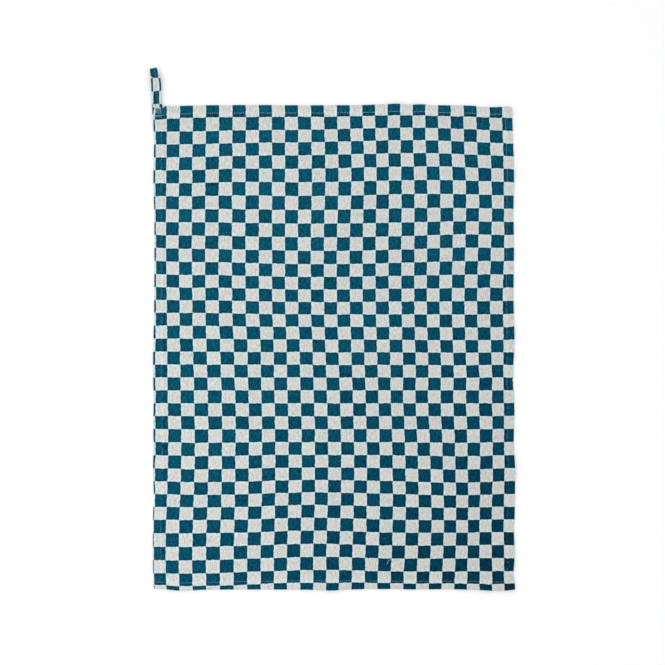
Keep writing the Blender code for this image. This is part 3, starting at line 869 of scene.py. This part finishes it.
for stitches in (hem_stitches, hem_stitches_back):
    stitches.data.materials.append(thread_finish)
    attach(stitches, "root")

# ------------------------------------------------------------------------------------------------
# The hanging loop. A strip of the same cotton, both long edges folded in to meet down the middle
# of one face and sewn there, then doubled back on itself. Its ends lie under the towel's corner.
# ------------------------------------------------------------------------------------------------
TAPE_THICK = 1.2 * MM
TAPE_CLEARANCE = 0.16 * MM      # between the two legs where they are tucked in
TAPE_LAYER = 0.6 * MM           # one of the tape's two layers, with the air beside it
TAPE_CLOTH = 0.48 * MM
TAPE_REST = 0.14 * MM           # the lower leg lies this far up, on its own stitches
LOOP_REACH = 58.2 * MM          # tip of the loop beyond the towel's top edge
LOOP_TUCK = 8 * MM
BEND_RADIUS = 3.33 * MM
LOOP_EDGE_Y = TOWEL_LENGTH / 2 + TOP_EDGE[0].out * MM + TOWEL_MIDDLE_Y
LEG_STEPS, BEND_STEPS, TUCK_STEPS = 40, 26, 5
JOIN_GAP = 0.12 * MM            # between the two folded edges
JOIN_DIP = 0.1 * MM             # the folded edges are pulled in this far
FLAP_DOME = 0.13 * MM           # and the cloth beside them stands out this far
LEAN_OVER = 20 * MM             # the tape's direction follows its line over this length
LOWER_ASIDE = 1.1 * MM          # near the tip the lower leg lies this far left of the upper one
LOWER_NARROW = 0.9 * MM         # and is this much narrower
LOWER_ASIDE_OVER = 26 * MM

# The loop's middle line and width seen from above and how far the cloth has rolled round the tape's
# edges towards the right, in millimetres, from its tucked ends to its tip, and how closely the
# cloth is bunched across the tape.
Place = namedtuple("Place", "beyond_edge across width roll bunch")
LOOP_PLACES = [
    Place(-8, -254.9, 14.1, -0.6, 1.0),
    Place(1, -254.9, 14.2, -0.6, 1.0),
    Place(2.6, -255.0, 14.5, 1.6, 1.0),
    Place(5, -255.1, 14.5, 1.6, 1.0),
    Place(10, -255.5, 14.0, 0.4, 1.0),
    Place(20, -256.0, 13.8, 0.0, 1.0),
    Place(32, -255.8, 14.3, -0.15, 0.98),
    Place(40, -256.4, 14.1, -0.15, 0.98),
    Place(44.3, -256.9, 13.4, -0.2, 1.06),
    Place(46.6, -257.5, 12.5, 1.0, 1.34),
    Place(50, -257.9, 12.3, 1.0, 1.38),
    Place(54, -258.6, 12.0, 0.9, 1.42),
    Place(58.2, -259.4, 11.2, 0.9, 1.42),
]


def loop_route():
    """The tape's middle, from its lower end to its upper one: beyond the edge, height and turn."""
    lower = TAPE_THICK / 2 + TAPE_REST
    tucked = lower + TAPE_THICK + TAPE_CLEARANCE
    bend_start = LOOP_REACH - BEND_RADIUS - TAPE_THICK / 2
    route = [(-LOOP_TUCK * (1 - step / TUCK_STEPS), lower, 0.0) for step in range(TUCK_STEPS)]
    route += [(bend_start * step / LEG_STEPS, lower, 0.0) for step in range(LEG_STEPS)]
    for step in range(BEND_STEPS + 1):
        turn = math.pi * step / BEND_STEPS
        route.append((bend_start + BEND_RADIUS * math.sin(turn),
                      lower + BEND_RADIUS * (1 - math.cos(turn)), turn))
    drop = lower + 2 * BEND_RADIUS - tucked
    for step in range(LEG_STEPS - 1, -1, -1):
        share = step / LEG_STEPS
        slope = math.atan(drop * math.pi / (2 * bend_start) * math.sin(math.pi * share))
        height = tucked + drop * swelling(1 - share)
        route.append((bend_start * share, height, math.pi + slope))
    route += [(-LOOP_TUCK * step / TUCK_STEPS, tucked, math.pi) for step in range(1, TUCK_STEPS + 1)]
    return np.array(route)


# Across the tape from the join, round the left edge, over the back and round the right edge to the
# join again: shares of each folded side, of each edge's half turn and of the back.
FLAP_SHARES = [0.0, 0.08, 0.2, 0.4, 0.6, 0.8, 0.92, 1.0]
EDGE_TURNS = [1 / 6, 2 / 6, 3 / 6, 4 / 6, 5 / 6]
BACK_SHARES = [0.0, 0.15, 0.35, 0.5, 0.65, 0.85, 1.0]
JOIN_DIP_OVER = 0.2             # the dip beside the join, as a share of a folded side


def tape_section(width, depth):
    """The tape's section at one place: sideways, inwards of its middle, and place on the strip."""
    bend = TAPE_LAYER / 2
    reach = bend + depth
    flat = width / 2 - bend - TAPE_CLOTH / 2
    flap = flat - JOIN_GAP
    back = bend * math.pi + 2 * flat        # the strip's place where the back ends
    doming = [FLAP_DOME * math.sin(math.pi * share) - JOIN_DIP * falling(share, JOIN_DIP_OVER)
              for share in FLAP_SHARES]
    flaps = list(zip(FLAP_SHARES, doming))
    turns = [math.pi * turn for turn in EDGE_TURNS]
    section = [(-JOIN_GAP - flap * share, -reach - dome, -flap * (1 - share)) for share, dome in flaps]
    section += [(-flat - reach * math.sin(turn), -reach * math.cos(turn), bend * turn) for turn in turns]
    section += [(-flat + 2 * flat * share, reach, bend * math.pi + 2 * flat * share)
                for share in BACK_SHARES]
    section += [(flat + reach * math.sin(turn), reach * math.cos(turn), back + bend * turn)
                for turn in turns]
    section += [(JOIN_GAP + flap * share, -reach - dome, back + bend * math.pi + flap * (1 - share))
                for share, dome in reversed(flaps)]
    # The middle of the back is the middle of the strip.
    return np.array(section, float) - (0, 0, bend * math.pi + flat)


def along_loop(key, beyond):
    """Read a column of the loop's places at distances beyond the towel's edge."""
    return between(LOOP_PLACES, "beyond_edge", key, beyond / MM)


def tape_grid(depth):
    """Points of one face of the folded strip, half the cloth's thickness out or in, and its places."""
    route = loop_route()
    beyond = route[:, 0]
    across = along_loop("across", beyond) * MM
    behind = along_loop("across", beyond - LEAN_OVER) * MM
    roll = along_loop("roll", beyond) * MM
    bunch = along_loop("bunch", beyond)
    lower_share = (0.5 + 0.5 * np.cos(np.minimum(route[:, 2], math.pi))) * falling(
        LOOP_REACH - BEND_RADIUS - beyond, LOWER_ASIDE_OVER)
    across = across - LOWER_ASIDE * lower_share
    width = along_loop("width", beyond) * MM - LOWER_NARROW * lower_share
    middle = np.stack([across, LOOP_EDGE_Y + beyond, route[:, 1]], -1)
    gone = gone_along(middle)
    upper_foot = len(route) - 1 - TUCK_STEPS
    from_foot = gone[upper_foot] - gone
    points, places = [], []
    for number, turn in enumerate(route[:, 2]):
        lean = (across[number] - behind[number]) / LEAN_OVER
        forward = np.array([lean, 1.0, 0.0]) / math.hypot(lean, 1)
        sideways = np.array([forward[1], -forward[0], 0.0])
        inward = np.array([0, 0, 1.0]) * math.cos(turn) - forward * math.sin(turn)
        section = tape_section(width[number], depth)
        points.append(middle[number] + section[:, :1] * sideways + section[:, 1:2] * inward)
        # Seen from above on the upper leg, the strip's right is the section's right.
        on_strip = section[:, 2] * bunch[number] - roll[number]
        places.append(np.stack([on_strip, np.full(len(section), from_foot[number])], -1))
    return np.array(points), np.array(places)


outer_points, outer_places = tape_grid(TAPE_CLOTH / 2)
inner_points, inner_places = tape_grid(-TAPE_CLOTH / 2)
hanging_loop = closed_sheet("hanging_loop", outer_points, inner_points, outer_places, inner_places)

# The strip is centred on one column of squares, so the next columns show on its folded edges.
FIRST_CHANGE = 6.4 * MM         # from the towel's edge to the first change of colour up the loop
UP_PHASE = -FIRST_CHANGE / SQUARE
hanging_loop.data.materials.append(checked_cotton("checked_tape_face", 0.5, UP_PHASE, 0.0))
hanging_loop.data.materials.append(checked_cotton("checked_tape_back", 0.5, UP_PHASE, 1.0))
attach(hanging_loop, "root")
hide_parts("hang_loop")

# ------------------------------------------------------------------------------------------------
# The loop's stitching. Rows sewn back and forth through the corner hold the loop's two ends, in
# the hems' own thread, and one row runs down the tape beside its join.
# ------------------------------------------------------------------------------------------------
TACK_LEFT, TACK_RIGHT = CUT_LEFT + 1.5 * MM, CUT_LEFT + 12.2 * MM
TACK_TOP = CUT_TOP - 1.4 * MM
TACK_PITCH = 0.75 * MM
TACK_ROWS = 8
TACK_STITCH = 2.7 * MM
TACK_SLOPE = 0.5 * MM           # a row ends this far above or below its start, at most
TACK_LEAN, TACK_SUNK = 0.9 * MM, 0.13 * MM
LOCK_RIGHT = CUT_LEFT + 12 * MM     # the hem's row is locked from the left edge to here
LOCK_OFFSETS = (0.55 * MM, -0.5 * MM)
LOCK_CLOSING = 0.3              # the locking rows end this share of their offset from the hem's row
LOCK_LEAN, LOCK_SUNK = 0.4 * MM, 0.05 * MM
tack_threads = []
for number in range(TACK_ROWS):
    height = TACK_TOP - number * TACK_PITCH
    end_height = height - chance.uniform(-TACK_SLOPE, TACK_SLOPE)
    row = Row(TACK_LEFT, height, TACK_RIGHT, end_height, TACK_SUNK, TACK_SUNK)
    tack_threads += sewn(row, TACK_STITCH, chance, TACK_LEAN)
for offset in LOCK_OFFSETS:
    row = Row(CUT_LEFT + EDGE_MARGIN, seam_top + offset, LOCK_RIGHT, seam_top + offset * LOCK_CLOSING,
              LOCK_SUNK, LOCK_SUNK)
    tack_threads += sewn(row, TACK_STITCH, chance, LOCK_LEAN)
loop_tack = thread_tubes("loop_tack", tack_threads, THREAD_SIDES)
loop_tack.data.materials.append(thread_finish)
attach(loop_tack, "root")

TAPE_SEAM = 0.9 * MM            # the row of stitches, to the right of the join
TAPE_STITCH = 2.6 * MM
TAPE_STITCH_START, TAPE_STITCH_SHARE = 0.07, 0.86       # of each stitch's length along the row
TAPE_THREAD_RADIUS = 0.12 * MM
TAPE_SUNK, TAPE_SUNK_MORE = 0.02 * MM, 0.08 * MM
route = loop_route()
beyond = route[:, 0]
seam_line = np.stack([
    along_loop("across", beyond) * MM + TAPE_SEAM, LOOP_EDGE_Y + beyond, route[:, 1]], -1)
seam_out = np.stack([0 * beyond, np.sin(route[:, 2]), -np.cos(route[:, 2])], -1)
seam_gone = gone_along(seam_line)


def on_seam(at, values):
    """The three parts of some values along the tape's seam, read at distances along it."""
    return np.stack([np.interp(at, seam_gone, part) for part in values.T], -1)


tape_threads = []
for number in range(int(seam_gone[-1] / TAPE_STITCH)):
    at = (number + TAPE_STITCH_START + TAPE_STITCH_SHARE * RINGS.share) * TAPE_STITCH
    sunk = TAPE_SUNK + chance.uniform(0, TAPE_SUNK_MORE)
    rise = TAPE_LAYER / 2 + TAPE_CLOTH / 2 + RINGS.proud - sunk
    path = on_seam(at, seam_line) + on_seam(at, seam_out) * rise[:, None]
    tape_threads.append((path, RINGS.girth * TAPE_THREAD_RADIUS))
tape_stitches = thread_tubes("tape_stitches", tape_threads, THREAD_SIDES)
tape_stitches.data.materials.append(thread_finish)
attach(tape_stitches, "root")

# ------------------------------------------------------------------------------------------------
# The stray thread. A short end of the same pale thread, cut off after sewing and left lying on the
# cloth near the bottom edge.
# ------------------------------------------------------------------------------------------------
STRAY_RADIUS, STRAY_SIDES = 0.24 * MM, 8
STRAY_PROUD = 0.2 * MM          # its middle lies this far above the cloth
# Its places on the cloth pulled square, in millimetres.
Spot = namedtuple("Spot", "across along")
STRAY_SPOTS = [
    Spot(77.4, -304.6), Spot(76.5, -305.6), Spot(75.4, -306.6), Spot(74.6, -307.9),
    Spot(73.6, -309.3), Spot(73.0, -310.9), Spot(72.4, -312.2),
]
stray = Spot(*np.array(STRAY_SPOTS).T * MM)
stray_path = lay(stray.across, stray.along, np.full(len(STRAY_SPOTS), LAYER_GAP - STRAY_PROUD))
stray_girth = np.full(len(STRAY_SPOTS), STRAY_RADIUS)
stray_thread = thread_tubes("stray_thread", [(stray_path, stray_girth)], STRAY_SIDES)
stray_thread.data.materials.append(thread_finish)
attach(stray_thread, "root")

# ------------------------------------------------------------------------------------------------
# The surface, the light and the camera: a plain white table seen from straight above, in broad
# soft daylight that is a little stronger from the upper left.
# ------------------------------------------------------------------------------------------------
TABLE_HALF = 4.0
table_corners = [(-TABLE_HALF, -TABLE_HALF, 0), (TABLE_HALF, -TABLE_HALF, 0),
                 (TABLE_HALF, TABLE_HALF, 0), (-TABLE_HALF, TABLE_HALF, 0)]
table_mesh = bpy.data.meshes.new("table_top")
table_mesh.from_pydata(table_corners, [], [(0, 1, 2, 3)])
table_top = in_scene("table_top", table_mesh)
table_finish, tree, shader = new_finish("white_table")
shader.inputs["Base Color"].default_value = (0.94, 0.94, 0.94, 1)
shader.inputs["Roughness"].default_value = 0.8
table_mesh.materials.append(table_finish)

softbox = in_scene("softbox", bpy.data.lights.new("softbox", "AREA"))
softbox.location = (-0.55, -0.15, 1.6)
softbox.data.energy = 0.9
softbox.data.size = 1.3
softbox.data.spread = math.radians(70)      # narrow, so that the right side gets less of its light
window = in_scene("window", bpy.data.lights.new("window", "SUN"))
window.rotation_euler = (math.radians(-70), 0, math.radians(25))        # low, from the top left
window.data.energy = 0.4
window.data.angle = math.radians(50)
world = bpy.data.worlds.new("white_room")
world.use_nodes = True
world.node_tree.nodes["Background"].inputs["Color"].default_value = (1, 1, 1, 1)
world.node_tree.nodes["Background"].inputs["Strength"].default_value = 0.985
bpy.context.scene.world = world

VIEW_WIDTH = 959.6 * MM         # the width of the surface that the photograph shows
VIEW_MIDDLE = (-2.16 * MM, -4.04 * MM)
CAMERA_HEIGHT = 2.0
SENSOR_WIDTH = 36               # in the camera's own millimetres
camera = in_scene("camera", bpy.data.cameras.new("camera"))
camera.location = (*VIEW_MIDDLE, CAMERA_HEIGHT)
camera.data.sensor_width = SENSOR_WIDTH
camera.data.lens = SENSOR_WIDTH * CAMERA_HEIGHT / VIEW_WIDTH
bpy.context.scene.camera = camera
bpy.context.scene.view_settings.view_transform = "Standard"
